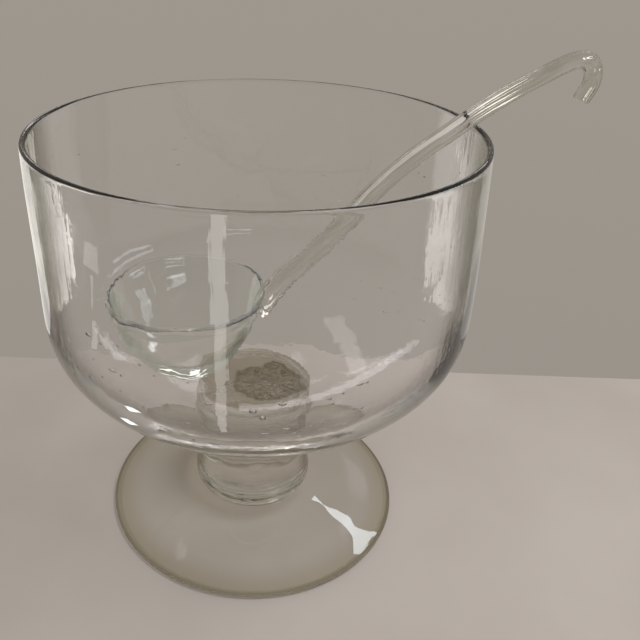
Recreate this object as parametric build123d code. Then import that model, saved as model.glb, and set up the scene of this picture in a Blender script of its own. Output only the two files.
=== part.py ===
from build123d import *
import os

os.makedirs("parts", exist_ok=True)

# A hand-blown glass punch bowl on a stem and foot, with a glass ladle lying in it.
# Millimetres, +Z up, the bowl's axis is Z and the foot stands on z = 0.

# ---- driving sizes ---------------------------------------------------------
bowl_r = 125.0          # outside radius at the rim
bowl_top = 266.2        # height of the rim above the table
wall = 3.2              # wall at the rim
stem_joint_z = 91.0     # flat joint between bowl and stem
floor_z = 101.8         # lowest point of the bowl's inside
foot_joint_z = 16.0     # flat joint between stem and foot
stem_r = 38.5           # stem radius at its two joints
foot_r = 100.3          # outside radius of the foot

cup_r = 49.2            # outside radius of the ladle cup at its rim
cup_h = 58.3            # outside height of the ladle cup
cup_wall = 2.8          # wall of the ladle cup at the rim
cup_at = (-43.1, -0.3, 105.1)   # lowest point of the cup's outside
cup_tilt_x = -1.6       # the cup hangs a little twisted, degrees
cup_tilt_y = -0.5
handle_plane = 3.2      # azimuth of the handle's upright plane, degrees
handle_d0 = 11.4        # handle diameter at the cup
handle_d1 = 9.2         # handle diameter at the tip
cup_gap = 0.3           # kept between the cup's curved wall and the handle's root


def revolved(edges):
    """Solid of revolution about Z from a closed chain of edges in the XZ plane."""
    face = make_face(Wire(edges))
    return revolve(face, axis=Axis.Z)


def pt(r, z):
    return (r, 0, z)


# ---- bowl: nearly upright wall, rounded turn, thick rounded bottom ----------
outer = [(stem_r, stem_joint_z), (48.0, 93.2), (60.0, 97.3), (75.0, 103.2), (88.0, 109.8),
         (101.0, 118.0), (113.4, 128.9), (122.0, 141.0), (126.8, 155.0), (127.8, 174.0),
         (127.2, 207.3), (126.3, 236.7), (bowl_r, bowl_top - wall / 2)]
inner = [(bowl_r - wall, bowl_top - wall / 2), (122.9, 236.7), (123.7, 207.3), (124.1, 174.0),
         (122.8, 157.5), (118.0, 144.6), (109.5, 133.2), (97.0, 123.0), (82.0, 114.6),
         (68.0, 109.0), (56.0, 105.8), (42.0, 103.6), (24.0, 102.2), (0, floor_z)]
o = Spline(*[pt(*p) for p in outer])
rim = ThreePointArc(pt(bowl_r, bowl_top - wall / 2), pt(bowl_r - wall / 2, bowl_top),
                    pt(bowl_r - wall, bowl_top - wall / 2))
i = Spline(*[pt(*p) for p in inner], tangents=[(0.06, 0, -1), (-1, 0, 0)])
bowl = revolved([Line(pt(0, stem_joint_z), pt(stem_r, stem_joint_z)), o, rim, i,
                 Line(pt(0, floor_z), pt(0, stem_joint_z))])

# ---- stem: short solid glass cylinder, a little fuller low down -------------
stem_side = [(37.4, foot_joint_z), (38.6, foot_joint_z + 1.9), (39.4, 22.0), (39.2, 32.0),
             (38.4, 46.0), (38.0, 62.0), (38.1, 80.0), (stem_r, stem_joint_z)]
stem = revolved([Line(pt(0, foot_joint_z), pt(37.4, foot_joint_z)),
                 Spline(*[pt(*p) for p in stem_side]),
                 Line(pt(stem_r, stem_joint_z), pt(0, stem_joint_z)),
                 Line(pt(0, stem_joint_z), pt(0, foot_joint_z))])

# ---- foot: low domed disc, hollowed underneath, standing on an outer ring ---
foot_top = [(98.92, 4.07), (93.0, 5.2), (80.0, 7.0), (62.0, 9.9), (48.0, 13.0), (39.8, foot_joint_z)]
foot = revolved([
    Line(pt(84.0, 0), pt(98.2, 0)),
    ThreePointArc(pt(98.2, 0), pt(foot_r, 2.1), pt(98.92, 4.07)),
    Spline(*[pt(*p) for p in foot_top]),
    Line(pt(39.8, foot_joint_z), pt(0, foot_joint_z)),
    Line(pt(0, foot_joint_z), pt(0, 4.6)),
    Spline(pt(0, 4.6), pt(30, 4.4), pt(58, 3.4), pt(76, 1.5), pt(84.0, 0),
           tangents=[(1, 0, 0), (1, 0, -0.22)]),
])

# ---- ladle cup: deep rounded cup, open at the top ---------------------------
co = [(0, 0), (8.8, 0.54), (15.6, 2.4), (22.2, 6.4), (28.0, 11.8), (32.6, 17.6), (36.2, 23.7),
      (39.1, 29.6), (41.7, 35.5), (43.9, 41.4), (45.9, 47.1), (47.7, 52.8), (cup_r, cup_h - cup_wall / 2)]
ci = [(cup_r - cup_wall, cup_h - cup_wall / 2), (44.8, 52.8), (43.0, 47.1), (40.9, 41.4),
      (38.6, 35.5), (35.8, 29.6), (32.7, 24.0), (28.9, 18.8), (24.0, 13.4), (18.0, 8.8),
      (9.8, 5.2), (0, 4.2)]


def cup_solid(grow):
    """Outside shape of the cup, filled, with its wall grown outward by grow."""
    s = Spline(*[pt(*p) for p in co], tangents=[(1, 0, 0), (0.28, 0, 1)])
    body = revolved([s, Line(pt(cup_r, cup_h - cup_wall / 2), pt(cup_r, cup_h + 12)),
                     Line(pt(cup_r, cup_h + 12), pt(0, cup_h + 12)),
                     Line(pt(0, cup_h + 12), pt(0, 0))])
    return offset(body, amount=grow) if grow else body


place = Pos(*cup_at) * Rot(cup_tilt_x, cup_tilt_y, 0)
cup_edges = [
    Spline(*[pt(*p) for p in co], tangents=[(1, 0, 0), (0.28, 0, 1)]),
    ThreePointArc(pt(cup_r, cup_h - cup_wall / 2), pt(cup_r - cup_wall / 2, cup_h),
                  pt(cup_r - cup_wall, cup_h - cup_wall / 2)),
    Spline(*[pt(*p) for p in ci], tangents=[(-0.28, 0, -1), (-1, 0, 0)]),
    Line(pt(0, 4.2), pt(0, 0)),
]
ladle_cup = place * revolved(cup_edges)

# ---- ladle handle: glass rod, bent out over the rim, its end turned down ----
# (distance along the handle's plane from the cup's axis, height)
run = [(44.2, 154.6), (56.2, 165.4), (75.7, 184.3), (87.6, 197.9), (98.7, 211.6), (107.9, 223.0),
       (118.3, 234.4), (128.5, 244.2), (138.9, 252.8), (149.2, 260.7), (159.3, 268.4),
       (167.2, 274.2), (174.0, 278.9), (193.5, 290.9), (202.3, 295.7), (211.0, 300.2)]
turn = [(216.4, 301.8), (221.3, 301.1), (225.0, 297.5), (226.4, 292.8), (226.0, 288.4),
        (224.3, 284.0), (222.6, 279.9)]


# drawn in the XZ plane through the cup's axis, then turned to the handle's own plane
path = Spline(*[pt(s, z) for s, z in run + turn])
stations = [0.0, 0.12, 0.35, 0.6, 0.8, 0.9, 1.0]
diams = [handle_d0 + 1.6, handle_d0, 10.9, 10.2, 9.6, 9.2, handle_d1]
sections = [Plane(origin=path @ u, x_dir=(0, 1, 0), z_dir=path % u) * Circle(d / 2)
            for u, d in zip(stations, diams)]
rod = sweep(sections=sections, path=path, multisection=True)

# the root, spread where the hot glass was pressed onto the cup
root = Pos(49.4, 0, 154.6) * Rot(0, -52, 0) * scale(Sphere(10.0), by=(1.25, 0.95, 0.72))
turned = Pos(cup_at[0], cup_at[1], 0) * Rot(0, 0, handle_plane)
cutter = place * cup_solid(cup_gap)
ladle_handle = turned * (rod + root) - cutter
ladle_handle = max(ladle_handle.solids(), key=lambda s: s.volume)

nodes = {
    "bowl": bowl,
    "stem": stem,
    "foot": foot,
    "ladle_cup": ladle_cup,
    "ladle_handle": ladle_handle,
}
for name, shape in nodes.items():
    solid = shape if isinstance(shape, Solid) else max(shape.solids(), key=lambda s: s.volume)
    solid.label = name
    bb = solid.bounding_box()
    print(name, "volume %.0f" % solid.volume, "valid", solid.is_valid,
          "box", [round(v, 1) for v in (bb.min.X, bb.min.Y, bb.min.Z, bb.max.X, bb.max.Y, bb.max.Z)])
    export_step(solid, f"parts/{name}.step")
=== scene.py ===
import math
import random

import bmesh
import bpy
import numpy as np
from mathutils import Matrix, Vector, noise
from mathutils.kdtree import KDTree


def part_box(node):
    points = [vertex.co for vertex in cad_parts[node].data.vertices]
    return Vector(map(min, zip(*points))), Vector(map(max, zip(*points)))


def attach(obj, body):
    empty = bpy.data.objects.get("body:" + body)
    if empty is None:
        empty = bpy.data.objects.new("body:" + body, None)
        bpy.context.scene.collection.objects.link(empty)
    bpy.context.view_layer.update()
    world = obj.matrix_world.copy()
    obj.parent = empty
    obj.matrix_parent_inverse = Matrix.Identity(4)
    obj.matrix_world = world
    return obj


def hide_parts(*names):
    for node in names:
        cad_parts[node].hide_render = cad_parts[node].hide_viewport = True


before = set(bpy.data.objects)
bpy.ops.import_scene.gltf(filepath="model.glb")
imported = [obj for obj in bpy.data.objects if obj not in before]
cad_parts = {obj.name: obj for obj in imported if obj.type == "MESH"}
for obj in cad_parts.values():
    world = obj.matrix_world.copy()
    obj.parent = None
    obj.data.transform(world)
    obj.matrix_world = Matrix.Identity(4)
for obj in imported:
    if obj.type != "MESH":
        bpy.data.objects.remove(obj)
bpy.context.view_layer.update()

MM = 0.001
scene = bpy.context.scene
rng = random.Random(7)

# --------------------------------------------------------------------------
# shapes: profiles in millimetres as (radius, height), splined and turned
# --------------------------------------------------------------------------


def spline(points, n, start=None, end=None):
    """n points, evenly spaced along a smooth curve through points. start and end are optional tangents."""
    p = np.array(points, float)
    t = np.concatenate([[0], np.cumsum(np.hypot(*np.diff(p, axis=0).T[:2]) if p.shape[1] == 2
                                       else np.linalg.norm(np.diff(p, axis=0), axis=1))])
    k = len(p)
    a = np.zeros((k, k))
    b = np.zeros((k, p.shape[1]))
    h = np.diff(t)
    for i in range(1, k - 1):
        a[i, i - 1], a[i, i], a[i, i + 1] = h[i - 1], 2 * (h[i - 1] + h[i]), h[i]
        b[i] = 6 * ((p[i + 1] - p[i]) / h[i] - (p[i] - p[i - 1]) / h[i - 1])
    if start is None:
        a[0, 0] = 1
    else:
        s = np.array(start, float)
        s /= np.linalg.norm(s)
        a[0, 0], a[0, 1] = 2 * h[0], h[0]
        b[0] = 6 * ((p[1] - p[0]) / h[0] - s)
    if end is None:
        a[-1, -1] = 1
    else:
        e = np.array(end, float)
        e /= np.linalg.norm(e)
        a[-1, -1], a[-1, -2] = 2 * h[-1], h[-1]
        b[-1] = 6 * (e - (p[-1] - p[-2]) / h[-1])
    m = np.linalg.solve(a, b)

    def at(u):
        i = np.clip(np.searchsorted(t, u) - 1, 0, k - 2)
        d, r = (u - t[i])[:, None], (t[i + 1] - u)[:, None]
        hh = h[i][:, None]
        return (m[i] * r**3 + m[i + 1] * d**3) / (6 * hh) + (p[i] / hh - m[i] * hh / 6) * r + (
            p[i + 1] / hh - m[i + 1] * hh / 6) * d

    fine = at(np.linspace(0, t[-1], 2000))
    s = np.concatenate([[0], np.cumsum(np.linalg.norm(np.diff(fine, axis=0), axis=1))])
    want = np.linspace(0, s[-1], n)
    return np.stack([np.interp(want, s, fine[:, j]) for j in range(fine.shape[1])], 1)


def arc(c, r, a0, a1, n):
    a = np.radians(np.linspace(a0, a1, n))
    return np.stack([c[0] + r * np.cos(a), c[1] + r * np.sin(a)], 1)


def lathe(parts, seg, move=None):
    """A closed turned mesh. parts is a list of (points, slot); the chain runs from the axis round to the axis.
    move(r, z, theta, part_index) gives a new (x, y, z). Returns vertices, faces, slots and the sharp ring numbers."""
    chain, slots, sharp = [], [], set()
    for k, (pts, slot) in enumerate(parts):
        pts = list(map(tuple, pts))
        if chain:
            sharp.add(len(chain) - 1)
            pts = pts[1:]
        for q in pts:
            chain.append((q[0], q[1], k))
            slots.append(slot)
    th = np.linspace(0, 2 * math.pi, seg, endpoint=False)
    verts, ring = [], []
    for r, z, k in chain:
        if r < 1e-6:
            ring.append([len(verts)])
            q = move(np.zeros(1), np.full(1, z), np.zeros(1), k) if move else np.array([[0, 0, z]])
            verts.extend(q.tolist())
        else:
            ring.append(list(range(len(verts), len(verts) + seg)))
            q = (move(np.full(seg, r), np.full(seg, z), th, k) if move
                 else np.stack([r * np.cos(th), r * np.sin(th), np.full(seg, z)], 1))
            verts.extend(q.tolist())
    faces, mats = [], []
    for i in range(len(chain) - 1):
        a, b = ring[i], ring[i + 1]
        for j in range(seg):
            j2 = (j + 1) % seg
            if len(a) == 1:
                f = (a[0], b[j2], b[j])
            elif len(b) == 1:
                f = (a[j], a[j2], b[0])
            else:
                f = (a[j], a[j2], b[j2], b[j])
            faces.append(f)
            mats.append(slots[i + 1])
    return verts, faces, mats, [ring[i] for i in sharp]


def mesh_object(name, verts, faces, mats, materials, sharp=()):
    me = bpy.data.meshes.new(name)
    me.from_pydata([tuple(c * MM for c in v) for v in verts], [], faces)
    for m in materials:
        me.materials.append(m)
    me.polygons.foreach_set("material_index", mats)
    me.polygons.foreach_set("use_smooth", [True] * len(faces))
    if sharp:
        loops = set()
        for ring in sharp:
            for a, b in zip(ring, ring[1:] + ring[:1]):
                loops.add((min(a, b), max(a, b)))
        for e in me.edges:
            if (min(e.vertices), max(e.vertices)) in loops:
                e.use_edge_sharp = True
    me.validate()
    ob = bpy.data.objects.new(name, me)
    scene.collection.objects.link(ob)
    bm = bmesh.new()
    bm.from_mesh(me)
    if bm.calc_volume(signed=True) < 0:
        bmesh.ops.reverse_faces(bm, faces=bm.faces)
        bm.to_mesh(me)
    bm.free()
    return ob


def add_seeds(verts, faces, mats, seeds, slot):
    """Air bubbles: closed cavities in the glass, their faces turned inward. seeds is (centre, axes, three radii)."""
    rings, segs = 7, 12
    for c, (u, v, w), (ra, rb, rc) in seeds:
        base = len(verts)
        grid = []
        for i in range(rings + 1):
            a = math.pi * i / rings
            if i in (0, rings):
                grid.append([len(verts)])
                verts.append(tuple(c + w * (rc * math.cos(a))))
            else:
                row = []
                for j in range(segs):
                    b = 2 * math.pi * j / segs
                    row.append(len(verts))
                    verts.append(tuple(c + u * (ra * math.sin(a) * math.cos(b)) + v * (rb * math.sin(a) * math.sin(b))
                                       + w * (rc * math.cos(a))))
                grid.append(row)
        for i in range(rings):
            a, b = grid[i], grid[i + 1]
            for j in range(segs):
                k = (j + 1) % segs
                if len(a) == 1:
                    f = (a[0], b[k], b[j])
                elif len(b) == 1:
                    f = (a[j], a[k], b[0])
                else:
                    f = (a[j], a[k], b[k], b[j])
                faces.append(f)
                mats.append(slot)


# --------------------------------------------------------------------------
# materials
# --------------------------------------------------------------------------


class Tree:
    def __init__(self, name):
        self.m = bpy.data.materials.new(name)
        self.m.use_nodes = True
        self.t = self.m.node_tree
        self.t.nodes.clear()
        self.out = self.n("ShaderNodeOutputMaterial")

    def n(self, kind, **vals):
        node = self.t.nodes.new(kind)
        for k, v in vals.items():
            setattr(node, k, v)
        return node

    def link(self, a, b):
        self.t.links.new(a, b)


def ramp(t, src, stops, mode="LINEAR"):
    r = t.n("ShaderNodeValToRGB")
    r.color_ramp.interpolation = mode
    el = r.color_ramp.elements
    while len(el) > 1:
        el.remove(el[-1])
    el[0].position, el[0].color = stops[0][0], (*stops[0][1], 1)
    for p, c in stops[1:]:
        e = el.new(p)
        e.color = (*c, 1)
    t.link(src, r.inputs[0])
    return r.outputs[0]


def mixed(t, fac, a, colour):
    """Colour a where fac is 0 and the plain colour where it is 1."""
    m = t.n("ShaderNodeMix", data_type="RGBA")
    t.link(fac, m.inputs[0])
    t.link(a, m.inputs[6])
    m.inputs[7].default_value = (*colour, 1)
    return m.outputs[2]


def glass(name, tint_a, tint_b, edge_on_depth_and_shade, ior=1.5, rough=(0.0, 0.03), streak=0.25, bump=0.10, ripple=0.0,
          cast=(0.95, 0.95, 0.94), edge=(0.62, 0.62, 0.60), edge_shade_band=None,
          side_from=0.55, lip_shade_band=None, cast_ends=(0.55, 1.0), drawn=None):
    """Hand-blown glass: two near tints in slow swirls, deeper where it is seen edge-on (the glass's own depth, with
    painted shade for dark outlines), faint cords and waves in the surface, and light smears. edge_shade_band and
    lip_shade_band are (inner radius, outer radius, colour) for painted shade that darkens the glass outwards.
    drawn is the slope in degrees, in the XZ plane, along which the glass was drawn out into streaks."""
    t = Tree(name)
    co = t.n("ShaderNodeTexCoord")
    sw = t.n("ShaderNodeTexNoise")
    sw.inputs["Scale"].default_value = 9.0
    sw.inputs["Detail"].default_value = 2.0
    sw.inputs["Distortion"].default_value = 0.8
    t.link(co.outputs["Object"], sw.inputs["Vector"])
    tint = ramp(t, sw.outputs["Fac"], [(0.35, tint_a), (0.65, tint_b)])
    along = co.outputs["Object"]
    if drawn is not None:
        turned = t.n("ShaderNodeMapping")
        turned.inputs["Rotation"].default_value = (0, math.radians(drawn), 0)
        t.link(co.outputs["Object"], turned.inputs["Vector"])
        along = turned.outputs["Vector"]
        thin = t.n("ShaderNodeMapping")
        thin.inputs["Scale"].default_value = (5.0, 420.0, 420.0)
        t.link(along, thin.inputs["Vector"])
        sw.inputs["Scale"].default_value = 1.0
        sw.inputs["Distortion"].default_value = 0.15
        t.link(thin.outputs["Vector"], sw.inputs["Vector"])
    # painted shade: edge_shade_band and lip_shade_band darken the glass towards its outer edge
    for where in (edge_shade_band, lip_shade_band):
        if not where:
            continue
        flat = t.n("ShaderNodeVectorMath", operation="MULTIPLY")
        flat.inputs[1].default_value = (1, 1, 0)
        t.link(co.outputs["Object"], flat.inputs[0])
        far = t.n("ShaderNodeVectorMath", operation="LENGTH")
        t.link(flat.outputs[0], far.inputs[0])
        out = t.n("ShaderNodeMapRange", interpolation_type="SMOOTHSTEP")
        out.inputs["From Min"].default_value = where[0]
        out.inputs["From Max"].default_value = where[1]
        t.link(far.outputs["Value"], out.inputs["Value"])
        tint = mixed(t, out.outputs["Result"], tint, where[2])
    # painted shade: the edge-on tint deepens the glass's own colour and also darkens its outlines
    lw0 = t.n("ShaderNodeLayerWeight")
    lw0.inputs["Blend"].default_value = 0.5
    steep = t.n("ShaderNodeMapRange", interpolation_type="SMOOTHSTEP")
    steep.inputs["From Min"].default_value = side_from
    steep.inputs["From Max"].default_value = side_from + 0.28
    t.link(lw0.outputs["Facing"], steep.inputs["Value"])
    tint = mixed(t, steep.outputs["Result"], tint, edge_on_depth_and_shade)
    # cords: fine lines drawn out along the wall
    mp = t.n("ShaderNodeMapping")
    mp.inputs["Scale"].default_value = (160.0, 160.0, 9.0) if drawn is None else (6.0, 330.0, 330.0)
    t.link(along, mp.inputs["Vector"])
    cords = t.n("ShaderNodeTexNoise")
    cords.inputs["Scale"].default_value = 1.0
    cords.inputs["Detail"].default_value = 3.0
    t.link(mp.outputs["Vector"], cords.inputs["Vector"])
    waves = t.n("ShaderNodeTexNoise")
    waves.inputs["Scale"].default_value = 38.0
    waves.inputs["Detail"].default_value = 1.5
    t.link(co.outputs["Object"], waves.inputs["Vector"])
    smear = t.n("ShaderNodeTexNoise")
    smear.inputs["Scale"].default_value = 24.0
    smear.inputs["Detail"].default_value = 5.0
    smear.inputs["Distortion"].default_value = 1.6
    t.link(co.outputs["Object"], smear.inputs["Vector"])
    ro = t.n("ShaderNodeMapRange")
    ro.inputs["From Min"].default_value = 0.52
    ro.inputs["From Max"].default_value = 0.78
    ro.inputs["To Min"].default_value = rough[0]
    ro.inputs["To Max"].default_value = rough[1]
    t.link(smear.outputs["Fac"], ro.inputs["Value"])
    b1 = t.n("ShaderNodeBump")
    b1.inputs["Strength"].default_value = streak
    b1.inputs["Distance"].default_value = 0.0004
    t.link(cords.outputs["Fac"], b1.inputs["Height"])
    b2 = t.n("ShaderNodeBump")
    b2.inputs["Strength"].default_value = bump
    b2.inputs["Distance"].default_value = 0.003
    t.link(waves.outputs["Fac"], b2.inputs["Height"])
    t.link(b1.outputs["Normal"], b2.inputs["Normal"])
    if ripple:
        fine = t.n("ShaderNodeTexNoise")
        fine.inputs["Scale"].default_value = 260.0
        fine.inputs["Detail"].default_value = 1.0
        t.link(co.outputs["Object"], fine.inputs["Vector"])
        b3 = t.n("ShaderNodeBump")
        b3.inputs["Strength"].default_value = ripple
        b3.inputs["Distance"].default_value = 0.0002
        t.link(fine.outputs["Fac"], b3.inputs["Height"])
        t.link(b2.outputs["Normal"], b3.inputs["Normal"])
        b2 = b3
    p = t.n("ShaderNodeBsdfPrincipled")
    p.inputs["Transmission Weight"].default_value = 1.0
    p.inputs["IOR"].default_value = ior
    t.link(tint, p.inputs["Base Color"])
    t.link(ro.outputs["Result"], p.inputs["Roughness"])
    t.link(b2.outputs["Normal"], p.inputs["Normal"])
    # lamps and bounced light pass through, weakened towards the edges, as they do through real glass
    lw = t.n("ShaderNodeLayerWeight")
    lw.inputs["Blend"].default_value = 0.55
    through = ramp(t, lw.outputs["Facing"], [(0.0, cast), (cast_ends[0], cast), (cast_ends[1], edge)])
    tr = t.n("ShaderNodeBsdfTransparent")
    t.link(through, tr.inputs["Color"])
    lp = t.n("ShaderNodeLightPath")
    m1 = t.n("ShaderNodeMixShader")
    t.link(lp.outputs["Is Shadow Ray"], m1.inputs[0])
    t.link(p.outputs[0], m1.inputs[1])
    t.link(tr.outputs[0], m1.inputs[2])
    m2 = t.n("ShaderNodeMixShader")
    t.link(lp.outputs["Is Diffuse Ray"], m2.inputs[0])
    t.link(m1.outputs[0], m2.inputs[1])
    t.link(tr.outputs[0], m2.inputs[2])
    t.link(m2.outputs[0], t.out.inputs["Surface"])
    return t.m


def joint_material():
    """The fused face between two gathers of glass: no edge shows there, only the depth of the glass behind it."""
    t = Tree("fused_joint")
    tr = t.n("ShaderNodeBsdfTransparent")
    nz = t.n("ShaderNodeTexNoise")
    nz.inputs["Scale"].default_value = 30.0
    t.link(ramp(t, nz.outputs["Fac"], [(0.3, (0.955, 0.95, 0.93)), (0.7, (0.97, 0.965, 0.95))]), tr.inputs["Color"])
    t.link(tr.outputs[0], t.out.inputs["Surface"])
    return t.m


def shade_pool_material():
    """The fused face under the bowl's floor, where the stem was joined, with a dark, folded pool of painted shade that
    stands for the shaded floor under the foot seen down through the glass.
    """
    t = Tree("fused_joint_shade_pool")
    co_ = t.n("ShaderNodeTexCoord")
    nz = t.n("ShaderNodeTexNoise")
    nz.inputs["Scale"].default_value = 60.0
    nz.inputs["Detail"].default_value = 2.0
    t.link(co_.outputs["Object"], nz.inputs["Vector"])
    off = t.n("ShaderNodeVectorMath", operation="SUBTRACT")
    off.inputs[1].default_value = (0.5, 0.5, 0.5)
    t.link(nz.outputs["Color"], off.inputs[0])
    amt = t.n("ShaderNodeVectorMath", operation="SCALE")
    amt.inputs["Scale"].default_value = 0.022
    t.link(off.outputs[0], amt.inputs[0])
    add = t.n("ShaderNodeVectorMath", operation="ADD")
    t.link(co_.outputs["Object"], add.inputs[0])
    t.link(amt.outputs[0], add.inputs[1])
    mid = t.n("ShaderNodeVectorMath", operation="SUBTRACT")
    mid.inputs[1].default_value = (0.0110, -0.0030, 0.0)
    t.link(add.outputs[0], mid.inputs[0])
    shape = t.n("ShaderNodeVectorMath", operation="MULTIPLY")
    shape.inputs[1].default_value = (1 / 0.0250, 1 / 0.0225, 0.0)
    t.link(mid.outputs[0], shape.inputs[0])
    far = t.n("ShaderNodeVectorMath", operation="LENGTH")
    t.link(shape.outputs[0], far.inputs[0])
    shade_folds = t.n("ShaderNodeTexNoise")
    shade_folds.inputs["Scale"].default_value = 95.0
    shade_folds.inputs["Detail"].default_value = 2.0
    shade_folds.inputs["Distortion"].default_value = 2.4
    t.link(add.outputs[0], shade_folds.inputs["Vector"])
    # painted shade: dark folded bands, with clearer glass between them
    dark = ramp(t, shade_folds.outputs["Fac"], [(0.30, (0.95, 0.91, 0.82)), (0.37, (0.66, 0.62, 0.53)), (0.40, (0.16, 0.15, 0.11)),
                                          (0.43, (0.92, 0.88, 0.78)), (0.50, (0.62, 0.58, 0.49)), (0.53, (0.50, 0.47, 0.38)),
                                          (0.555, (0.14, 0.13, 0.10)), (0.59, (0.90, 0.86, 0.76)), (0.65, (0.58, 0.54, 0.46)),
                                          (0.67, (0.22, 0.20, 0.16)), (0.71, (0.85, 0.81, 0.71))])
    inside = t.n("ShaderNodeMapRange", interpolation_type="SMOOTHSTEP")
    inside.inputs["From Min"].default_value = 0.90
    inside.inputs["From Max"].default_value = 1.06
    t.link(far.outputs["Value"], inside.inputs["Value"])
    # a darker painted ring of shade along the pool's border
    line = t.n("ShaderNodeMapRange", interpolation_type="SMOOTHSTEP")
    line.inputs["From Min"].default_value = 0.72
    line.inputs["From Max"].default_value = 0.95
    t.link(far.outputs["Value"], line.inputs["Value"])
    rim = t.n("ShaderNodeMix", data_type="RGBA")
    rim.blend_type = "MULTIPLY"
    t.link(line.outputs["Result"], rim.inputs[0])
    t.link(dark, rim.inputs[6])
    rim.inputs[7].default_value = (0.72, 0.70, 0.66, 1)
    tr = t.n("ShaderNodeBsdfTransparent")
    t.link(mixed(t, inside.outputs["Result"], rim.outputs[2], (0.965, 0.96, 0.95)), tr.inputs["Color"])
    t.link(tr.outputs[0], t.out.inputs["Surface"])
    return t.m


# the deep edge-on tints of the bowl, stem, foot, underside and rod are painted shade for dark outlines and the rod's
# dark lower side; the cup's green one is its glass's own
BOWL = glass("blown_glass_bowl", (0.998, 0.994, 0.998), (0.990, 0.986, 0.984), (0.29, 0.28, 0.235), streak=0.15, bump=0.045,
             ripple=0.10, cast=(0.985, 0.985, 0.98), side_from=0.50)
STEM = glass("solid_glass_stem", (0.92, 0.91, 0.87), (0.945, 0.935, 0.90), (0.24, 0.225, 0.17), streak=0.0, bump=0.22,
             side_from=0.48,
             cast=(0.84, 0.83, 0.79), edge=(0.45, 0.44, 0.40))
# the foot and its underside carry painted shade in edge_shade_band and lip_shade_band, darker towards the outer edge
# and lip
FOOT = glass("pressed_glass_foot", (0.950, 0.941, 0.913), (0.975, 0.967, 0.945), (0.34, 0.32, 0.25), streak=0.0, bump=0.075,
             cast=(0.95, 0.945, 0.93), edge=(0.10, 0.095, 0.08), cast_ends=(0.32, 0.66), side_from=0.60,
             edge_shade_band=(0.078, 0.0985, (0.70, 0.67, 0.56)), lip_shade_band=(0.0972, 0.0992, (0.40, 0.37, 0.28)))
UNDER = glass("pressed_glass_underside", (0.960, 0.952, 0.930), (0.972, 0.966, 0.948), (0.55, 0.52, 0.42), ior=1.15,
              rough=(0.08, 0.12), streak=0.0, bump=0.05, cast=(0.96, 0.955, 0.94), edge_shade_band=(0.074, 0.101, (0.84, 0.82, 0.73)))
CUP = glass("blown_glass_cup", (0.965, 0.978, 0.962), (0.975, 0.982, 0.968), (0.62, 0.72, 0.64), streak=0.03, bump=0.05,
            side_from=0.45)
PONTIL = glass("ground_pontil", (0.84, 0.82, 0.76), (0.91, 0.90, 0.86), (0.50, 0.48, 0.40), rough=(0.12, 0.30), streak=0.0,
               bump=0.35, cast=(0.86, 0.85, 0.81), edge=(0.5, 0.49, 0.45))
ROD = glass("drawn_glass_rod", (0.80, 0.78, 0.71), (0.995, 0.99, 0.98), (0.50, 0.48, 0.39), streak=0.30, bump=0.0, side_from=0.46, drawn=40.0)
JOINT = joint_material()
# painted shade pool for the joint face under the bowl's floor
SHADE_POOL = shade_pool_material()

# --------------------------------------------------------------------------
# bowl, stem and foot
# --------------------------------------------------------------------------
bowl_lo, bowl_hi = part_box("bowl")
stem_lo, stem_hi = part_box("stem")
RIM_Z = bowl_hi[2] / MM
JOIN_Z = stem_hi[2] / MM
FOOT_Z = stem_lo[2] / MM
RIM_R, WALL = 125.0, 3.2
FLOOR_Z = 101.8


def smooth01(x):
    x = np.clip(x, 0, 1)
    return x * x * (3 - 2 * x)


CORDS = [(rng.uniform(0, 2 * math.pi), rng.uniform(0.010, 0.040), rng.uniform(-0.045, 0.045), rng.uniform(-0.035, 0.035))
         for _ in range(46)]


def noise3(x, y, z, scale, seed):
    return np.array([noise.noise(Vector((a * scale + seed, b * scale, c * scale))) for a, b, c in zip(x, y, z)])


def bowl_move(r, z, th, part):
    """The bowl isn't quite round or straight: it leans, its wall waves a little, and cords run up it."""
    if part == 0:
        return np.stack([r * np.cos(th), r * np.sin(th), z + 0.4 * smooth01((37 - r) / 9)], 1)
    free = smooth01((z - JOIN_Z) / 22.0) if part in (1, 2) else smooth01((z - FLOOR_Z + 4) / 20.0)
    x, y = r * np.cos(th), r * np.sin(th)
    side = 0.0 if part in (1, 2) else 40.0
    amp = 0.34 * smooth01((r - 20) / 60)
    wave = noise3(x, y, z, 0.016, 3.0 + side) * amp + noise3(x, y, z, 0.045, 9.0 + side) * 0.13
    wall = smooth01((r - 100) / 20) * smooth01((RIM_Z - z) / 12)
    cord = np.zeros_like(th)
    for a, w, h1, h2 in CORDS:
        d = (th - a - 0.05 * math.sin(z[0] * 0.013 + a * 3) + math.pi) % (2 * math.pi) - math.pi
        cord += (h1 if side == 0 else h2) * np.exp(-((d / w) ** 2))
    oval = 0.35 * np.cos(2 * th + 0.7) * smooth01((z - 120) / 100)
    rr = r + free * (wave + oval + cord * wall)
    hump = np.sin(np.pi * np.clip((z - JOIN_Z) / (RIM_Z - JOIN_Z), 0, 1)) ** 1.6
    lean = 1.6 * hump
    tip = free * 0.25 * np.sin(th * 1 + 2.0) * smooth01((z - 230) / 36)
    return np.stack([rr * np.cos(th) + lean, rr * np.sin(th), z + tip], 1)


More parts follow.
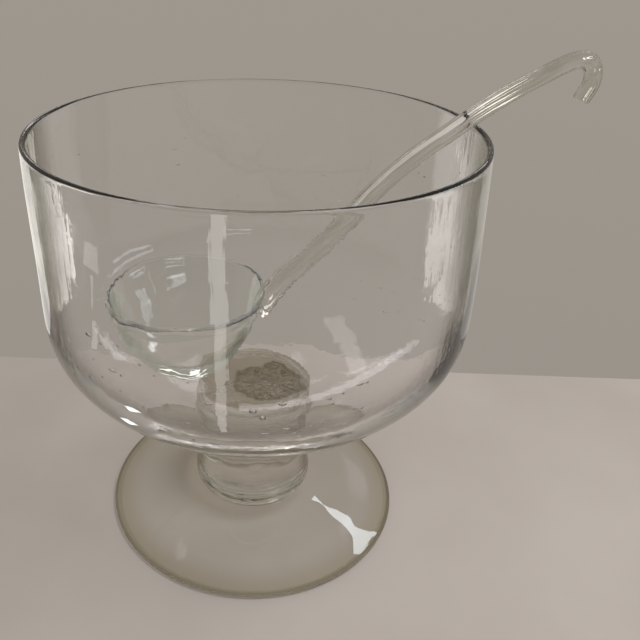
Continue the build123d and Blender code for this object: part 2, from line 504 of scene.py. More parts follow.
outer = [(38.5, JOIN_Z), (48.0, 93.2), (60.0, 97.3), (75.0, 103.2), (88.0, 109.8), (101.0, 118.0), (113.4, 128.9),
         (122.0, 141.0), (126.8, 155.0), (127.8, 174.0), (127.2, 207.3), (126.3, 236.7), (RIM_R, RIM_Z - WALL / 2)]
inner = [(RIM_R - WALL, RIM_Z - WALL / 2), (122.9, 236.7), (123.7, 207.3), (124.1, 174.0), (122.8, 157.5),
         (118.0, 144.6), (109.5, 133.2), (97.0, 123.0), (82.0, 114.6), (68.0, 109.0), (56.0, 105.8), (42.0, 103.6),
         (24.0, 102.2), (0.0, FLOOR_Z)]
SEG = 360
parts = [
    # the joint disc under the bowl's floor carries the painted shade pool
    ([(0, JOIN_Z), (13, JOIN_Z), (26, JOIN_Z), (38.5, JOIN_Z)], 1),
    (spline(outer, 110), 0),
    (arc((RIM_R - WALL / 2, RIM_Z - WALL / 2), WALL / 2, 0, 180, 13), 0),
    (spline(inner, 110, start=(0.06, -1), end=(-1, 0)), 0),
]
v, f, m, sharp = lathe(parts, SEG, bowl_move)
sharp = [r for r in sharp if abs(v[r[0]][2] - JOIN_Z) < 1e-6]

# seeds in the wall: (azimuth in degrees, height, how far through the wall, radii)
seeds = []


def wall_seed(az, z, share, size, stretch=1.5):
    o = spline(outer, 300)
    i = spline(inner, 300, start=(0.06, -1), end=(-1, 0))
    ro = np.interp(z, o[:, 1], o[:, 0])
    ri = np.interp(z, i[::-1, 1], i[::-1, 0])
    r = ri + (ro - ri) * share
    a = math.radians(az)
    u = Vector((-math.sin(a), math.cos(a), 0))
    w = Vector((0, 0, 1))
    n = Vector((math.cos(a), math.sin(a), 0))
    hump = math.sin(math.pi * (z - JOIN_Z) / (RIM_Z - JOIN_Z)) ** 1.6
    c = n * r + Vector((1.6 * hump, 0, z))
    seeds.append((c, (n, u, w), (min(size * 0.6, (ro - ri) * 0.3), size * stretch, size)))


SEEDS = [  # azimuth in degrees, height, half length along the wall, half width
    (-130.1, 190.9, 1.68, 0.70), (-131.0, 164.5, 1.51, 0.55), (-123.4, 176.3, 1.92, 0.50), (-121.0, 175.6, 0.55, 0.50),
    (-121.5, 166.0, 0.50, 0.48), (-127.0, 198.1, 0.50, 0.48), (-115.6, 185.7, 0.48, 0.45), (-112.2, 181.8, 0.44, 0.40),
    (-104.6, 181.9, 0.45, 0.42), (-115.6, 161.1, 0.45, 0.44), (-126.8, 169.4, 0.56, 0.50), (-136.0, 165.9, 0.72, 0.60),
    (-100.1, 171.5, 1.61, 0.50), (-105.0, 157.4, 1.14, 0.45), (-121.1, 192.2, 0.50, 0.45), (-126.3, 189.2, 0.52, 0.45),
    (-74.6, 173.4, 0.93, 0.55), (-73.9, 170.3, 0.74, 0.50), (-78.0, 158.2, 0.70, 0.46), (-75.8, 159.1, 0.60, 0.42),
    (-66.5, 163.7, 0.76, 0.46), (-68.7, 164.3, 0.48, 0.40), (-56.7, 157.6, 0.58, 0.44), (-49.0, 151.7, 1.13, 0.55),
    (-51.9, 150.5, 1.33, 0.55), (-57.2, 150.2, 3.53, 0.55), (-67.6, 178.3, 1.40, 0.48), (-66.0, 178.5, 0.78, 0.42),
    (-84.6, 172.9, 1.38, 0.80), (-90.8, 169.0, 1.38, 1.15), (-88.7, 165.1, 1.15, 1.15), (-83.6, 157.7, 1.60, 0.52),
    (-88.1, 154.8, 1.89, 0.52), (-81.7, 154.3, 1.19, 0.48), (-80.8, 151.5, 1.91, 0.52), (-47.7, 159.3, 0.64, 0.48),
    (-71.5, 175.2, 0.50, 0.42),
]
for az, z, a, b in SEEDS:
    wall_seed(az, z, 0.5, b * 1.3, a / b)
for _ in range(80):
    z = 120 + 130 * rng.random() ** 2.2
    size = 0.28 + 0.35 * rng.random() ** 2
    wall_seed(rng.uniform(-20, 200), z, rng.uniform(0.4, 0.6), size, rng.uniform(0.9, 3.2))
add_seeds(v, f, m, seeds, 0)
bowl = mesh_object("bowl_glass", v, f, m, [BOWL, SHADE_POOL], sharp)


def stem_move(r, z, th, part):
    free = smooth01((z - FOOT_Z) / 6) * smooth01((JOIN_Z - z) / 8) if part == 1 else np.zeros_like(r)
    x, y = r * np.cos(th), r * np.sin(th)
    rr = r + free * (noise3(x, y, z, 0.05, 21.0) * 0.5 + noise3(x, y, z, 0.12, 31.0) * 0.15)
    if part == 1:
        # tool rings left just above the foot and just under the bowl
        wander = noise3(x, y, z, 0.03, 41.0) * 2.4
        low = np.exp(-(((z - 24.0) / 6.0) ** 2)) + 0.6 * np.exp(-(((z - 84.0) / 4.5) ** 2))
        rr = rr + free * low * 0.95 * np.sin(1.45 * z + wander + 0.8 * np.sin(th + 1.0))
    return np.stack([rr * np.cos(th), rr * np.sin(th), z], 1)


stem_side = [(37.4, FOOT_Z), (38.6, FOOT_Z + 1.9), (39.4, 22.0), (39.2, 32.0), (38.4, 46.0), (38.0, 62.0),
             (38.1, 80.0), (38.5, JOIN_Z)]
v, f, m, sharp = lathe([
    ([(0, FOOT_Z), (13, FOOT_Z), (26, FOOT_Z), (37.4, FOOT_Z)], 1),
    (spline(stem_side, 90), 0),
    ([(38.5, JOIN_Z), (26, JOIN_Z), (13, JOIN_Z), (0, JOIN_Z)], 1),
], SEG, stem_move)
seeds = []
for _ in range(14):
    a, r, z = rng.uniform(0, 2 * math.pi), 33 * rng.random() ** 0.5, rng.uniform(19, 88)
    s = 0.3 + 0.6 * rng.random() ** 3
    seeds.append((Vector((r * math.cos(a), r * math.sin(a), z)), (Vector((1, 0, 0)), Vector((0, 1, 0)), Vector((0, 0, 1))),
                  (s, s, s * 1.2)))
add_seeds(v, f, m, seeds, 0)
stem = mesh_object("stem_glass", v, f, m, [STEM, JOINT], sharp)


def pontil_r(th):
    return 25.5 + 1.6 * np.cos(2 * th + 0.6) + 1.1 * np.cos(3 * th + 2.2) + 0.7 * np.cos(7 * th + 1.0)


def n_under(face):
    """True for a face of the foot's underside, inside its rounded edge."""
    return max(math.hypot(v[k][0], v[k][1]) for k in face) < 97.5 and all(v[k][2] < under_z(math.hypot(v[k][0], v[k][1])) + 1.2
                                                                          for k in face)


def under_z(r):
    return float(np.interp(r, [0, 30, 58, 76, 84, 100], [4.6, 4.4, 3.4, 1.5, 0, 0]))


def foot_move(r, z, th, part):
    x, y = r * np.cos(th), r * np.sin(th)
    top = part in (2, 3)
    free = smooth01((r - 40) / 18) if top else np.zeros_like(r)
    edge = smooth01((r - 60) / 40)
    rr = r + (0.5 * np.cos(2 * th + 1.1) + 0.25 * np.cos(3 * th + 0.4)) * edge
    dz = free * (noise3(x, y, z, 0.02, 51.0) * 0.5 + noise3(x, y, z, 0.06, 61.0) * 0.12)
    if part == 2:
        dz = dz * smooth01(z / 3)
    if part == 0:
        dz = smooth01((78 - r) / 20) * noise3(x, y, z, 0.03, 71.0) * 0.35
        # the ground pontil in the middle, a little deeper than the glass round it
        inside = smooth01((pontil_r(th) + 0.6 - r) / 1.2)
        dz = dz + inside * (0.45 + 0.25 * noise3(x, y, z, 0.25, 91.0))
    return np.stack([rr * np.cos(th), rr * np.sin(th), z + dz], 1)


foot_top = [(98.92, 4.07), (93.0, 5.2), (80.0, 7.0), (62.0, 9.9), (48.0, 13.0), (39.8, FOOT_Z)]
v, f, m, sharp = lathe([
    (spline([(0, 4.6), (30, 4.4), (58, 3.4), (76, 1.5), (84.0, 0.0)], 130, start=(1, 0), end=(1, -0.22)), 0),
    ([(84.0, 0), (88, 0), (92, 0), (95, 0), (98.2, 0)], 0),
    (arc((98.2, 2.1), 2.1, -90, 70, 16), 0),
    (spline(foot_top, 70), 0),
    ([(39.8, FOOT_Z), (38.6, FOOT_Z - 0.02), (37.4, FOOT_Z)], 0),
    ([(37.4, FOOT_Z), (26, FOOT_Z), (13, FOOT_Z), (0, FOOT_Z)], 1),
], SEG, foot_move)
sharp = [r for r in sharp if abs(v[r[0]][2] - FOOT_Z) < 1e-6 and abs(math.hypot(*v[r[0]][:2]) - 37.4) < 0.05]
for i, face in enumerate(f):
    c = np.mean([v[k] for k in face], axis=0)
    if c[2] < 6.5 and math.hypot(c[0], c[1]) < pontil_r(math.atan2(c[1], c[0])):
        m[i] = 2
    elif c[2] < 4.7 and n_under(face):
        m[i] = 3
foot = mesh_object("foot_glass", v, f, m, [FOOT, JOINT, PONTIL, UNDER], sharp)

# --------------------------------------------------------------------------
# ladle
# --------------------------------------------------------------------------
CUP_R, CUP_H, CUP_W = 49.2, 58.3, 2.8
CUP_AT = Vector((-43.1, -0.3, 105.1))
tilt = Matrix.Rotation(math.radians(-1.6), 3, "X") @ Matrix.Rotation(math.radians(-0.5), 3, "Y")
co = [(0, 0), (8.8, 0.54), (15.6, 2.4), (22.2, 6.4), (28.0, 11.8), (32.6, 17.6), (36.2, 23.7), (39.1, 29.6),
      (41.7, 35.5), (43.9, 41.4), (45.9, 47.1), (47.7, 52.8), (CUP_R, CUP_H - CUP_W / 2)]
ci = [(CUP_R - CUP_W, CUP_H - CUP_W / 2), (44.8, 52.8), (43.0, 47.1), (40.9, 41.4), (38.6, 35.5), (35.8, 29.6),
      (32.7, 24.0), (28.9, 18.8), (24.0, 13.4), (18.0, 8.8), (9.8, 5.2), (0, 4.2)]


def cup_move(r, z, th, part):
    x, y = r * np.cos(th), r * np.sin(th)
    side = 0.0 if part < 2 else 17.0
    rr = r + smooth01(r / 30) * (noise3(x, y, z, 0.03, 81.0 + side) * 0.35 + 0.25 * np.cos(2 * th + 0.3))
    out = []
    for a, b, c in zip(rr * np.cos(th), rr * np.sin(th), z):
        out.append(tuple(tilt @ Vector((a, b, c)) + CUP_AT))
    return np.array(out)


cv, cf, cm, _ = lathe([
    (spline(co, 70, start=(1, 0), end=(0.28, 1)), 0),
    (arc((CUP_R - CUP_W / 2, CUP_H - CUP_W / 2), CUP_W / 2, 0, 180, 11), 0),
    (spline(ci, 64, start=(-0.28, -1), end=(-1, 0)), 0),
], 200, cup_move)
cup = mesh_object("cup_work", cv, cf, cm, [CUP])
iv, if_, im_, _ = lathe([
    (spline([(max(r - 0.0, 0) + (0.7 if r > 1 else 0), z - 0.7) for r, z in ci[::-1]], 50), 0),
    ([(CUP_R - CUP_W + 0.7, CUP_H - CUP_W / 2 - 0.7), (CUP_R - CUP_W + 0.7, CUP_H + 14), (0, CUP_H + 14)], 0),
], 96, cup_move)
cavity = mesh_object("cavity_work", iv, if_, im_, [CUP])

run = [(45.5, 151.0), (50.0, 157.2), (56.2, 165.0), (75.7, 184.3), (87.6, 197.9), (98.7, 211.6), (107.9, 223.0), (118.3, 234.4),
       (128.5, 244.2), (138.9, 252.8), (149.2, 260.7), (159.3, 268.4), (167.2, 274.2), (174.0, 278.9), (193.5, 290.9),
       (202.3, 295.7), (211.0, 300.2), (216.4, 301.8), (221.3, 301.1), (225.0, 297.5), (226.4, 292.8), (226.0, 288.4),
       (224.3, 284.0), (222.6, 279.9)]
turn = Matrix.Rotation(math.radians(3.2), 3, "Z")
line = spline(run, 700)
tang = np.gradient(line, axis=0)
tang /= np.linalg.norm(tang, axis=1)[:, None]
arc_len = np.concatenate([[0], np.cumsum(np.linalg.norm(np.diff(line, axis=0), axis=1))])
total = arc_len[-1]
N_ROD = 120
ribs = [(2, 0.020, 0.4, 0.1), (3, 0.015, 1.9, -0.1)]
rv, rf = [], []


def rod_d(s):
    return np.interp(s / total, [0, 0.05, 0.12, 0.35, 0.6, 0.8, 0.9, 1.0], [14.5, 12.6, 11.4, 10.9, 10.2, 9.6, 9.2, 9.2])


tip_len = 1.6
rows = []
for i, (p, tg, s) in enumerate(zip(line, tang, arc_len)):
    left = total - s
    if left < tip_len:
        continue
    rows.append((p, tg, s, 1.0, 0.0))
end_p, end_t = line[-1], tang[-1]
for k in range(1, 7):
    a = math.radians(90 * k / 6)
    q = end_p - end_t * tip_len + end_t * tip_len * math.sin(a)
    rows.append((q, end_t, total, 1 - 0.32 * (1 - math.cos(a)), 0.0))
for p, tg, s, k, _ in rows:
    nrm = np.array([-tg[1], tg[0]])
    row = []
    for j in range(N_ROD):
        ph = 2 * math.pi * j / N_ROD
        rad = rod_d(s) / 2 * k
        rib = sum(a * math.cos(n * ph + p0 + w * s * 0.012) for n, a, p0, w in ribs)
        rib += 0.050 * math.cos(7 * ph + 1.0 + s * 0.0032)
        slow = 0.010 * noise.noise(Vector((s * 0.03, math.cos(ph) * 0.7, math.sin(ph) * 0.7)))
        rad *= 1 + rib * min(1.0, s / 12) * (1 if k == 1 else k) + slow
        a, b = math.cos(ph) * rad, math.sin(ph) * rad
        wide = 1 + 0.25 * math.exp(-((s / 9.0) ** 2))
        q = turn @ Vector((p[0] + nrm[0] * a, b * wide, 0))
        row.append(len(rv))
        rv.append((CUP_AT.x + q.x, CUP_AT.y + q.y, p[1] + nrm[1] * a))
    rf.append(row)
faces = []
for a, b in zip(rf, rf[1:]):
    for j in range(N_ROD):
        j2 = (j + 1) % N_ROD
        faces.append((a[j], a[j2], b[j2], b[j]))


def cap(row, flip):
    """Closes an end with rings towards its middle, so the cut face shades cleanly."""
    c = np.mean([rv[i] for i in row], axis=0)
    prev = row
    for k in (0.66, 0.33):
        cur = []
        for i in row:
            q = c + (np.array(rv[i]) - c) * k
            cur.append(len(rv))
            rv.append(tuple(q))
        for j in range(N_ROD):
            j2 = (j + 1) % N_ROD
            faces.append((prev[j], cur[j], cur[j2], prev[j2]) if flip else (prev[j], prev[j2], cur[j2], cur[j]))
        prev = cur
    mid = len(rv)
    rv.append(tuple(c))
    for j in range(N_ROD):
        j2 = (j + 1) % N_ROD
        faces.append((prev[j], mid, prev[j2]) if flip else (prev[j], prev[j2], mid))


cap(rf[0], True)
cap(rf[-1], False)
rod = mesh_object("rod_work", rv, faces, [0] * len(faces), [ROD])


def boolean(a, b, op, name):
    """The result of one exact boolean as a new mesh, with both objects' materials carried over."""
    mod = a.modifiers.new("b", "BOOLEAN")
    mod.object, mod.operation, mod.solver = b, op, "EXACT"
    if hasattr(mod, "material_mode"):
        mod.material_mode = "TRANSFER"
    dg = bpy.context.evaluated_depsgraph_get()
    me = bpy.data.meshes.new_from_object(a.evaluated_get(dg))
    me.name = name
    a.modifiers.remove(mod)
    return me


def volume_of(me):
    bm = bmesh.new()
    bm.from_mesh(me)
    vol, open_edges = bm.calc_volume(signed=True), sum(1 for e in bm.edges if len(e.link_faces) != 2)
    bm.free()
    return vol * 1e9, open_edges


rod.data = boolean(rod, cavity, "DIFFERENCE", "rod_cut")
print("rod cut", volume_of(rod.data), [x.name for x in rod.data.materials])
fused = boolean(cup, rod, "UNION", "ladle_fused")
handle_me = boolean(rod, cup, "DIFFERENCE", "handle_cut")
print("fused", volume_of(fused), [x.name for x in fused.materials])
print("handle", volume_of(handle_me), [x.name for x in handle_me.materials])


def slot_faces(me, name):
    idx = {i for i, x in enumerate(me.materials) if x and x.name.startswith(name)}
    return [p for p in me.polygons if p.material_index in idx]


def key(co_):
    return (round(co_.x * 1e6), round(co_.y * 1e6), round(co_.z * 1e6))


# soften the seam where rod and cup meet
bm = bmesh.new()
bm.from_mesh(fused)
rod_idx = {i for i, x in enumerate(fused.materials) if x.name.startswith(ROD.name)}
seam = {w for e in bm.edges if len(e.link_faces) == 2
        and (e.link_faces[0].material_index in rod_idx) != (e.link_faces[1].material_index in rod_idx) for w in e.verts}
tree = KDTree(max(len(seam), 1))
for i, w in enumerate(seam):
    tree.insert(w.co, i)
tree.balance()
moved = {}
if seam:
    near = {}
    for w in bm.verts:
        d = tree.find(w.co)[2]
        if d < 0.0028:
            near[w] = 1 - d / 0.0028
    start = {w: w.co.copy() for w in near}
    for _ in range(14):
        new = {w: sum((e.other_vert(w).co for e in w.link_edges), Vector()) / len(w.link_edges) for w in near}
        for w, k in near.items():
            w.co = w.co.lerp(new[w], 0.5 * k)
    for w, c in start.items():
        moved[key(c)] = w.co.copy()
bm.to_mesh(fused)
bm.free()


def moved_to(c):
    return moved.get(key(c), c)


# the face where the two are fused, taken from the cut rod, closes both pieces
def piece_from(name, groups, materials):
    """Joins faces of several meshes into one closed mesh. groups is (mesh, polygons, slot, flip, follow the softened seam)."""
    verts_, faces_, slots_, index = [], [], [], {}
    for me, polys, slot, flip, follow in groups:
        for p in polys:
            face = []
            for vi in p.vertices:
                c = me.vertices[vi].co
                c = moved_to(c) if follow else c
                k = key(c)
                if k not in index:
                    index[k] = len(verts_)
                    verts_.append(tuple(c))
                face.append(index[k])
            face = [a for a, b in zip(face, face[1:] + face[:1]) if a != b]
            if len(set(face)) >= 3 and len(set(face)) == len(face):
                faces_.append(tuple(face[::-1]) if flip else tuple(face))
                slots_.append(slot)
    me = bpy.data.meshes.new(name)
    me.from_pydata(verts_, [], faces_)
    for x in materials:
        me.materials.append(x)
    me.polygons.foreach_set("material_index", slots_)
    me.polygons.foreach_set("use_smooth", [True] * len(faces_))
    me.validate()
    bm_ = bmesh.new()
    bm_.from_mesh(me)
    bmesh.ops.remove_doubles(bm_, verts=bm_.verts[:], dist=2e-6)
    bmesh.ops.dissolve_degenerate(bm_, dist=1e-6, edges=bm_.edges[:])
    bmesh.ops.holes_fill(bm_, edges=[e for e in bm_.edges if len(e.link_faces) == 1], sides=0)
    for k in range(8):
        # a tangle where several faces meet in one edge is drawn together until the skin closes
        bad = [e for e in bm_.edges if len(e.link_faces) != 2]
        if not bad:
            break
        spot = {w for e in bad for w in e.verts}
        for _ in range(1 + k // 3):
            spot |= {e.other_vert(w) for w in list(spot) for e in w.link_edges}
        bmesh.ops.remove_doubles(bm_, verts=list(spot), dist=0.00025 * (k + 1))
        bmesh.ops.dissolve_degenerate(bm_, dist=1e-6, edges=bm_.edges[:])
        seen, twice = {}, []
        bm_.verts.index_update()
        for fc in bm_.faces:
            kk = frozenset(w.index for w in fc.verts)
            if kk in seen:
                twice += [fc, seen[kk]]
            seen[kk] = fc
        if twice:
            bmesh.ops.delete(bm_, geom=list(set(twice)), context="FACES")
        fins = [fc for fc in bm_.faces if any(len(e.link_faces) == 1 for e in fc.edges)
                and any(len(e.link_faces) > 2 for e in fc.edges)]
        if fins:
            bmesh.ops.delete(bm_, geom=fins, context="FACES")
        bmesh.ops.delete(bm_, geom=[e for e in bm_.edges if not e.link_faces], context="EDGES")
        bmesh.ops.holes_fill(bm_, edges=[e for e in bm_.edges if len(e.link_faces) == 1], sides=0)
        bm_.verts.index_update()
    for e in bm_.edges:
        if len(e.link_faces) == 2 and e.link_faces[0].material_index != e.link_faces[1].material_index:
            e.smooth = False
    bm_.to_mesh(me)
    bm_.free()
    ob = bpy.data.objects.new(name, me)
    scene.collection.objects.link(ob)
    print(name, "volume and open edges", volume_of(me))
    return ob


patch = slot_faces(handle_me, CUP.name)
ladle_cup = piece_from("ladle_cup_glass", [(fused, slot_faces(fused, CUP.name), 0, False, False),
                                           (handle_me, patch, 1, True, True)], [CUP, JOINT])
ladle_handle = piece_from("ladle_handle_glass", [(fused, slot_faces(fused, ROD.name), 0, False, False),
                                                 (handle_me, patch, 1, False, True)], [ROD, JOINT])
for o in (cup, rod, cavity):
    bpy.data.objects.remove(o)

for ob, body, nodes, slot in (
    (bowl, "bowl_body", ["bowl"], "bowl_glass"),
    (stem, "bowl_body", ["stem"], "stem_glass"),
    (foot, "bowl_body", ["foot"], "foot_glass"),
    (ladle_cup, "ladle", ["ladle_cup"], "ladle_cup_glass"),
    (ladle_handle, "ladle", ["ladle_handle"], "ladle_handle_glass"),
):
    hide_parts(*nodes)
    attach(ob, body)

# --------------------------------------------------------------------------
# plain stage, soft light and camera
# --------------------------------------------------------------------------


def plain(name, colour, rough=0.75, scale=6.0, spread=0.03):
    t = Tree(name)
    co_ = t.n("ShaderNodeTexCoord")
    nz = t.n("ShaderNodeTexNoise")
    nz.inputs["Scale"].default_value = scale
    nz.inputs["Detail"].default_value = 4.0
    t.link(co_.outputs["Object"], nz.inputs["Vector"])
    c = ramp(t, nz.outputs["Fac"], [(0.3, tuple(x - spread for x in colour)), (0.7, tuple(x + spread for x in colour))])
    p = t.n("ShaderNodeBsdfPrincipled")
    p.inputs["Roughness"].default_value = rough
    t.link(c, p.inputs["Base Color"])
    t.link(p.outputs[0], t.out.inputs["Surface"])
    return t.m


def slab(name, x0, x1, y0, y1, z0, z1, mat):
    me = bpy.data.meshes.new(name)
    bm_ = bmesh.new()
    bmesh.ops.create_cube(bm_, size=1)
    for w in bm_.verts:
        w.co = Vector(((x0 + x1) / 2 + w.co.x * (x1 - x0), (y0 + y1) / 2 + w.co.y * (y1 - y0),
                       (z0 + z1) / 2 + w.co.z * (z1 - z0)))
    bmesh.ops.bevel(bm_, geom=bm_.edges[:], offset=0.003, segments=3, affect="EDGES")
    bm_.to_mesh(me)
    bm_.free()
    me.materials.append(mat)
    ob = bpy.data.objects.new(name, me)
    scene.collection.objects.link(ob)
    return ob


floor = slab("floor", -1.6, 1.6, -1.6, 0.152, -0.03, -0.0002, plain("pale_floor", (0.50, 0.452, 0.426)))
floor.rotation_euler.z = -0.04
floor.location = (0.16 * (1 - math.cos(0.04)) - 0.152 * math.sin(0.04), 0.152 * (1 - math.cos(0.04)) + 0.16 * math.sin(0.04), 0)

world = bpy.data.worlds.new("studio")
scene.world = world
world.use_nodes = True
nt = world.node_tree
nt.nodes.clear()
wo = nt.nodes.new("ShaderNodeOutputWorld")
bg = nt.nodes.new("ShaderNodeBackground")
tc = nt.nodes.new("ShaderNodeTexCoord")
sep = nt.nodes.new("ShaderNodeSeparateXYZ")
nt.links.new(tc.outputs["Generated"], sep.inputs[0])


def by_height(stops):
    mr = nt.nodes.new("ShaderNodeMapRange")
    mr.inputs["From Min"].default_value = -1.0
    mr.inputs["From Max"].default_value = 1.0
    nt.links.new(sep.outputs["Z"], mr.inputs["Value"])
    wr = nt.nodes.new("ShaderNodeValToRGB")
    el = wr.color_ramp.elements
    el[0].position, el[0].color = (stops[0][0] + 1) / 2, (*stops[0][1], 1)
    el[1].position, el[1].color = (stops[-1][0] + 1) / 2, (*stops[-1][1], 1)
    for p_, c_ in stops[1:-1]:
        e_ = el.new((p_ + 1) / 2)
        e_.color = (*c_, 1)
    nt.links.new(mr.outputs["Result"], wr.inputs[0])
    return wr.outputs[0]


wall_side = by_height([(-1, (0.30, 0.275, 0.245)), (0.0, (0.345, 0.315, 0.275)), (0.5, (0.36, 0.33, 0.29)),
                       (0.84, (0.35, 0.325, 0.285)), (1, (0.29, 0.28, 0.255))])
room_side = by_height([(-1, (0.16, 0.15, 0.13)), (-0.1, (0.12, 0.115, 0.095)), (0.18, (0.08, 0.085, 0.065)),
                       (0.40, (0.17, 0.17, 0.155)), (0.75, (0.27, 0.27, 0.255)), (1, (0.29, 0.28, 0.255))])
side = nt.nodes.new("ShaderNodeMapRange")
side.interpolation_type = "SMOOTHSTEP"
side.inputs["From Min"].default_value = -0.25
side.inputs["From Max"].default_value = 0.30
nt.links.new(sep.outputs["Y"], side.inputs["Value"])
mixw = nt.nodes.new("ShaderNodeMix")
mixw.data_type = "RGBA"
nt.links.new(side.outputs["Result"], mixw.inputs[0])
nt.links.new(room_side, mixw.inputs[6])
nt.links.new(wall_side, mixw.inputs[7])
nt.links.new(mixw.outputs[2], bg.inputs["Color"])
bg.inputs["Strength"].default_value = 1.0
nt.links.new(bg.outputs[0], wo.inputs["Surface"])


def softbox(name, at, look, size, size_y, radiance, colour=(1, 1, 1), only=(), roll=0.0):
    """A flat lamp of the given brightness, out of the camera's sight. It lights everything, or only what is named."""
    li = bpy.data.lights.new(name, "AREA")
    li.energy, li.color = radiance * math.pi * size * size_y, colour
    li.shape = "RECTANGLE"
    li.size, li.size_y = size, size_y
    ob = bpy.data.objects.new(name, li)
    ob.location = at
    aim = (Vector(look) - Vector(at)).to_track_quat("-Z", "Y").to_matrix() @ Matrix.Rotation(math.radians(roll), 3, "Z")
    ob.rotation_euler = aim.to_euler()
    scene.collection.objects.link(ob)
    ob.visible_camera = False
    if only:
        lit = bpy.data.collections.new("lit_by_" + name)
        for x in only:
            lit.objects.link(x)
        ob.light_linking.receiver_collection = lit
    return ob


def towards(centre, az, el, far):
    """The point at a compass bearing from +Y, an elevation and a distance from centre, in metres."""
    a, e = math.radians(az), math.radians(el)
    return Vector(centre) + Vector((math.sin(a) * math.cos(e), math.cos(a) * math.cos(e), math.sin(e))) * far


BOWL_C, CUP_C, FOOT_C = (0, 0, 0.2), (-0.06, 0.03, 0.15), (0.064, -0.052, 0.006)
ROD_C = (0.13, 0.01, 0.28)
softbox("key", towards((0.22, -0.22, 0), 112, 72, 2.0), (0.22, -0.22, 0), 0.95, 0.95, 10.3, (1.0, 0.985, 0.97), only=(floor,))
softbox("rod_line", towards(ROD_C, 46, -38, 0.8), ROD_C, 0.06, 0.12, 0.85, (1.0, 0.98, 0.93), only=(ladle_handle,))
softbox("rod_line_2", towards(ROD_C, 25, -19.5, 0.8), ROD_C, 0.050, 0.12, 0.95, (1.0, 0.98, 0.93), only=(ladle_handle,))
softbox("rod_line_3", towards(ROD_C, 8.5, 1.0, 0.8), ROD_C, 0.046, 0.14, 1.0, (1.0, 0.98, 0.93), only=(ladle_handle,))
softbox("rod_line_4", towards(ROD_C, 26.5, -31.5, 0.8), ROD_C, 0.026, 0.045, 1.0, (1.0, 0.98, 0.93), only=(ladle_handle,))
softbox("rod_line_5", towards(ROD_C, 9, -15, 0.8), ROD_C, 0.026, 0.05, 1.0, (1.0, 0.98, 0.93), only=(ladle_handle,))
softbox("rod_top", towards(BOWL_C, -66, 50, 1.7), BOWL_C, 0.46, 0.24, 3.2, (1.0, 0.98, 0.93), only=(ladle_handle,))
softbox("hook_end", towards((0.179, 0.009, 0.280), 14, -36, 0.8), (0.179, 0.009, 0.280), 0.12, 0.12, 1.2, (1.0, 1.0, 1.0),
        only=(ladle_handle,))
softbox("smear", towards(BOWL_C, -17, 41, 1.7), BOWL_C, 0.15, 0.90, 1.9, (1.0, 0.98, 0.95), only=(bowl,), roll=-24)
softbox("rim_light", towards(BOWL_C, 4, 23, 1.7), BOWL_C, 1.9, 0.14, 2.2, (1.0, 0.97, 0.99), only=(bowl,))
softbox("patch", towards(FOOT_C, 32, 53.0, 1.8), FOOT_C, 0.36, 0.26, 9.0, (0.86, 0.94, 1.0), only=(foot,), roll=14)
softbox("stem_left", towards((0, 0, 0.03), 50, 50, 1.5), (0, 0, 0.03), 0.30, 0.22, 2.6, (1.0, 0.99, 0.96), only=(stem,))
softbox("stem_right", towards((0, 0, 0.03), -52, 49, 1.5), (0, 0, 0.03), 0.22, 0.22, 2.6, (1.0, 0.99, 0.96), only=(stem,))
softbox("low_right", towards(CUP_C, 93, 8.5, 1.5), CUP_C, 0.85, 0.12, 3.6, (0.84, 0.93, 1.0), only=(bowl, ladle_cup), roll=-17)
softbox("low_front", towards(CUP_C, 158, 14.2, 1.5), CUP_C, 0.80, 0.06, 4.2, (0.84, 0.93, 1.0), only=(bowl, ladle_cup))
softbox("glow_left", (-0.66, 0.77, -0.17), BOWL_C, 0.50, 0.45, 0.74, (1.0, 0.98, 0.95), only=(bowl,))
softbox("glow_right", (0.64, 0.78, -0.15), BOWL_C, 0.54, 0.46, 0.25, (1.0, 0.98, 0.95), only=(bowl,))
spot = softbox("spot_left", (-0.143, -0.060, 0.002), (-0.143, -0.060, 1), 0.020, 0.030, 5.0, (0.90, 0.96, 1.0), only=(bowl,))
spot.rotation_euler = (math.pi, 0, 0)
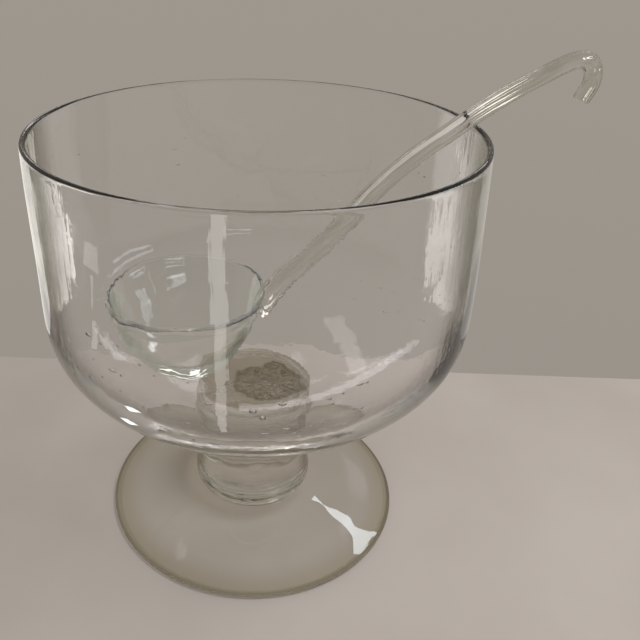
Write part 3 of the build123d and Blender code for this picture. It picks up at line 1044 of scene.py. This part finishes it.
# soft spots lying on the floor to the left, which the bowl's wall shows as a faint smear
for k, (x, y, w, h) in enumerate(((-0.610, -0.150, 0.10, 0.10), (-0.500, -0.118, 0.10, 0.012), (-0.395, -0.103, 0.055, 0.022))):
    lamp = softbox("smear_left%d" % k, (x, y, 0.003), (x, y, 1), w, h, 1.35, (1.0, 0.99, 0.98), only=(bowl,))
    lamp.rotation_euler = (math.pi, 0, 0.3)
    lamp.visible_transmission = False
# a strip of light lying on the floor in front, widening outwards, which the bowl's front wall reflects as one upright band
for k in range(8):
    near, off = 0.10 * 1.40 ** k, 0.10 * 1.40 ** (k + 1)
    mid, bearing = (near + off) / 2, math.radians(-162.2)
    at = Vector((-0.017 + mid * math.sin(bearing), -0.126 + mid * math.cos(bearing), 0.003))
    lamp = softbox("strip%d" % k, at, at + Vector((0, 0, 1)), 0.130 * mid, off - near, 3.3, (1.0, 0.975, 0.94), only=(bowl,))
    lamp.rotation_euler = (math.pi, 0, -bearing)
    lamp.visible_transmission = False

# camera: position and axes at the photograph's viewing angle
cam_data = bpy.data.cameras.new("camera")
cam = bpy.data.objects.new("camera", cam_data)
scene.collection.objects.link(cam)
yaw, pitch, roll = 0.0125, 0.5386, 0.0198
fwd = Vector((math.sin(yaw) * math.cos(pitch), math.cos(yaw) * math.cos(pitch), -math.sin(pitch)))
right0 = Vector((math.cos(yaw), -math.sin(yaw), 0))
up0 = right0.cross(fwd)
right = right0 * math.cos(roll) + up0 * math.sin(roll)
up = -right0 * math.sin(roll) + up0 * math.cos(roll)
cam.matrix_world = Matrix((
    (right.x, up.x, -fwd.x, 0.0),
    (right.y, up.y, -fwd.y, -0.37877),
    (right.z, up.z, -fwd.z, 0.36903),
    (0, 0, 0, 1),
))
cam_data.sensor_width = 36.0
cam_data.lens = 36.0 * 689.72 / 640
cam_data.shift_x = (320 - 262) / 640
cam_data.clip_start, cam_data.clip_end = 0.01, 50
scene.camera = cam

scene.view_settings.view_transform = "Standard"
scene.view_settings.look = "None"
if hasattr(scene, "cycles"):
    scene.cycles.max_bounces = 96
    scene.cycles.transmission_bounces = 64
    scene.cycles.glossy_bounces = 32
    scene.cycles.transparent_max_bounces = 48
    scene.cycles.caustics_reflective = False
    scene.cycles.caustics_refractive = False
    scene.cycles.blur_glossy = 0.3
